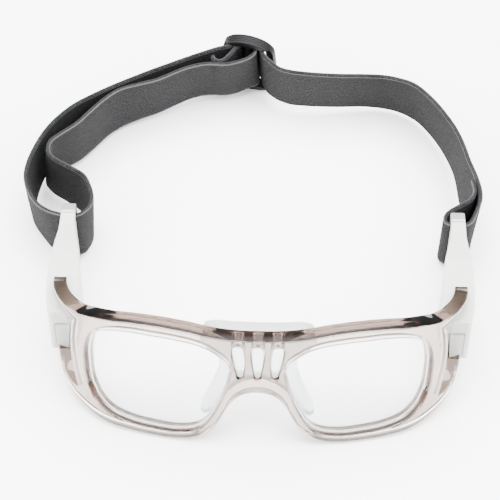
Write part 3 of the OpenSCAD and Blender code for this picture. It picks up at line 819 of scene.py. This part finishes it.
innerRun = [[-79.6, 120.8, -77.8, 116.8], [-73.2, 125.6, -72.2, 122.2], [-68.2, 132, -67.4, 129],
    [-63.4, 139, -62.6, 135.6], [-57.8, 144.6, -57, 141], [-51, 148.7, -49.9, 144],
    [-43.9, 151.9, -42.8, 146.4], [-36.7, 156.2, -35.6, 150.4], [-31.1, 159.4, -30.3, 153],
    [-24.4, 161.4, -23.8, 154.7], [-17.4, 161.6, -17, 154.6], [-13.4, 162.6, -13.2, 155.6],
    [-10.4, 164.4, -10.6, 156.9], [-7.8, 166.1, -8.1, 158.4], [-6, 166.9, -6.2, 160]]
centreLoop = [[-4.7, 167.5, -5.1, 162], atSlider(2.8, -0.7), atSlider(2.4, 1.4),
    atSlider(1.1, 2.4), atSlider(-0.9, 2.5), atSlider(-2.5, 1.4), atSlider(-3.4, -1.4)]
strapTail = [[-12, 169, -12.9, 163.7], [-14.6, 166, -15, 160], [-16.9, 163.9, -17.2, 157.2],
    [-19.3, 163.3, -19, 156.3], [-21.2, 163.9, -20.9, 157], [-22.2, 165.6, -21.9, 159]]
strapRows = rightEnd + rightRun + throughSlider + outerRun + leftEnd + innerRun + centreLoop + strapTail


def curveThrough(rows, t):
    # a smooth curve through the rows: t counts them
    k = min(int(t), len(rows) - 2)
    f = t - k
    a, b, c, d = (Vector(rows[min(max(k + j, 0), len(rows) - 1)]) for j in (-1, 0, 1, 2))
    square, cube = 2 * a - 5 * b + 4 * c - d, 3 * b - a - 3 * c + d
    return 0.5 * (2 * b + (c - a) * f + square * f * f + cube * f ** 3)


def riseAt(spot):
    share = (strap["riseFrom"] - (spot - sliderAt).length) / (strap["riseFrom"] - strap["riseTo"])
    share = min(1, max(0, share))
    return strap["rise"] * share * share * (3 - 2 * share)


def edgesAt(rows, t):
    row = curveThrough(rows, t)
    low, high = Vector(row[:2]), Vector(row[2:])
    foot = strap["up"] + riseAt(low)
    rise = math.sqrt(strap["wide"] ** 2 - (high - low).length_squared)
    return Vector((*low, foot)), Vector((*high, foot + rise))


def webProfile():
    # round the webbing's section: share of the width, and height off the middle as a share of the thickness
    count = strap["ribs"] * strap["perRib"]
    face = []
    for k in range(count + 1):
        f = k / count
        inFromEdge = min(f, 1 - f) * strap["wide"]
        rib = 0.5 - 0.5 * math.cos(2 * math.pi * f * strap["ribs"])
        deep = strap["ribDeep"] if inFromEdge > strap["selvedge"] else 0.02
        full = strap["thick"] / 2 - deep * (1 - rib)
        face.append((f, full * (0.55 if k in (0, count) else 0.9 if k in (1, count - 1) else 1)))
    edge = 0.25 / strap["wide"]
    return face + [(1 + edge, 0.0)] + [(f, -h) for f, h in reversed(face)] + [(-edge, 0.0)]


def makeWeb(name, rows, first, last):
    # a closed length of webbing between two counts of the rows
    samples, t = [], first
    while t < last - 1e-6:
        samples.append(t)
        low, high = edgesAt(rows, t)
        lowB, highB = edgesAt(rows, min(t + 0.05, len(rows) - 1.001))
        speed = max((lowB - low).length, (highB - high).length) / 0.05
        t += strap["step"] / max(speed, 0.5)
    samples.append(last)
    profile = webProfile()
    bpy.ops.object.select_all(action="DESELECT")
    bpy.ops.mesh.primitive_grid_add(x_subdivisions=len(samples) - 1, y_subdivisions=len(profile), size=1)
    piece = bpy.context.object
    piece.name = name
    mesh = piece.data
    columns = len(samples)
    spots, lengths, ran, before = [], [], 0.0, None
    for t in samples:
        low, high = edgesAt(rows, t)
        lowA, highA = edgesAt(rows, max(t - 0.08, 0))
        lowB, highB = edgesAt(rows, min(t + 0.08, len(rows) - 1))
        across = high - low
        tangentLow, tangentHigh = (lowB - lowA).normalized(), (highB - highA).normalized()
        if before is not None:
            ran += ((low + high) / 2 - before).length
        before = (low + high) / 2
        lengths.append(ran)
        spots.append((low, across, tangentLow, tangentHigh))
    for index, vertex in enumerate(mesh.vertices):
        j, i = divmod(index, columns)
        low, across, tangentLow, tangentHigh = spots[i]
        f, h = profile[j % len(profile)]
        normal = tangentLow.lerp(tangentHigh, min(1, max(0, f))).cross(across).normalized()
        vertex.co = (low + across * f + normal * h) * mm + shift
    uv = mesh.uv_layers[0]
    rounded = [k * (2 * strap["wide"] / len(profile)) for k in range(len(profile) + 1)]
    for loop in mesh.loops:
        j, i = divmod(loop.vertex_index, columns)
        uv.data[loop.index].uv = (lengths[i], rounded[j])
    pick(piece)
    bpy.ops.object.mode_set(mode="EDIT")
    bpy.ops.mesh.select_all(action="SELECT")
    bpy.ops.mesh.remove_doubles(threshold=0.001 * mm)
    bpy.ops.mesh.select_all(action="DESELECT")
    bpy.ops.mesh.select_mode(type="EDGE")
    bpy.ops.mesh.select_non_manifold()
    bpy.ops.mesh.fill()
    bpy.ops.mesh.select_all(action="SELECT")
    bpy.ops.mesh.normals_make_consistent(inside=False)
    bpy.ops.object.mode_set(mode="OBJECT")
    smooth(piece, 60)
    return piece


# name, first and last row, the two bodies, and where it starts and stops following the second
parts = [
    ("strapRight", 0, 24, "front", "right_arm", (60, 152), (75.5, 92)),
    ("strapRearRight", 24, 36, "front", "adjuster", (34, 157), (8, 160)),
    ("strapRearLeft", 36, 44, "front", "adjuster", (-44, 157), (-18, 166)),
    ("strapLeft", 44, 76, "front", "left_arm", (-70, 138), (-80, 92)),
    ("strapInnerEnd", 76, len(strapRows) - 1, "front", "adjuster", (-43, 151), (-18, 163)),
]
for name, first, last, holder, mover, start, stop in parts:
    piece = makeWeb(name, strapRows, first, last)
    piece.data.materials.clear()
    piece.data.materials.append(web)
    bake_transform(piece)
    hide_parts("strap")
print("strap made")


# stitches and tab
def makeStitches(name, low, high, facing, count, size):
    # a row of raised stitches from the lower edge to the upper edge
    stitches = []
    low, high = Vector(low), Vector(high)
    for k in range(count):
        f = (k + 0.5) / count * 0.9 + 0.05
        bpy.ops.object.select_all(action="DESELECT")
        bpy.ops.mesh.primitive_uv_sphere_add(segments=10, ring_count=6, radius=0.5, location=(0, 0, 0))
        stitch = bpy.context.object
        turn = (high - low).to_track_quat("Z", "Y").to_matrix().to_4x4()
        spot = (low.lerp(high, f) + Vector(facing) * 0.74) * mm + shift
        long = (high - low).length / count * 0.62 * mm
        shape = Matrix.Diagonal((size * mm, size * mm, long, 1))
        stitch.data.transform(Matrix.Translation(spot) @ turn @ shape)
        stitches.append(stitch)
    pick(*stitches)
    bpy.ops.object.join()
    stitches[0].name = name
    bpy.ops.object.shade_smooth()
    return stitches[0]


thread, _, threadShader = newMaterial("thread")
setInputs(threadShader, Base_Color=(0.008, 0.008, 0.009, 1), Roughness=0.8, Specular_IOR_Level=0.15)
# name, lower and upper end, the way it faces, the two bodies, its blend line and its node
seams = [
    ("sliderSeam", (-21.5, 161.4, 5.6), (-21.0, 154.9, 27.3), (-0.05, -0.97, -0.25), "front", "adjuster",
     (-43, 151), (-18, 163), "seam_slider"),
    ("rightSeam", (77.5, 92.6, 3.4), (79.8, 92.3, 25.4), (0.99, 0.02, -0.1), "front", "right_arm",
     (60, 152), (75.5, 92), "seam_right"),
]
for name, low, high, facing, holder, mover, start, stop, node in seams:
    row = makeStitches(name, low, high, facing, 13, 0.42)
    row.data.materials.clear()
    row.data.materials.append(thread)
    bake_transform(row)
    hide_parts(node)

tab = {"middle": (-89.35, 100.4, 14.5), "long": 7, "tall": 10, "thick": 0.55, "round": 0.12,
       "turn": math.radians(-87), "lean": math.radians(92)}


def makeTab():
    x, y = tab["long"] / 2, tab["tall"] / 2
    corners = millimetres([(-x, -y), (x, -y), (x, y), (-x, y)])
    piece = plate("strapTab", [corners], tab["thick"] * mm, tab["round"] * mm, steps=2)
    at = Vector(tab["middle"]) * mm + shift
    piece.data.transform(Matrix.Translation(at) @ Matrix.Rotation(tab["turn"], 4, "Z")
                         @ Matrix.Rotation(tab["lean"], 4, "X"))
    smooth(piece)
    return piece


tabPiece = makeTab()
tabMaterial, tabTree, tabShader = newMaterial("wovenTab")
setInputs(tabShader, Base_Color=(0.15, 0.04, 0.05, 1), Roughness=0.85, Specular_IOR_Level=0.15)
weave = addNode(tabTree, "ShaderNodeTexWave", Scale=900)
tabTree.links.new(objectSpots(tabTree), weave.inputs["Vector"])
addBump(tabTree, tabShader, weave.outputs["Fac"], 0.5, 0.1 * mm)
tabPiece.data.materials.clear()
tabPiece.data.materials.append(tabMaterial)
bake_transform(tabPiece)
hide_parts("strap_patch")
print("stitches and tab made")
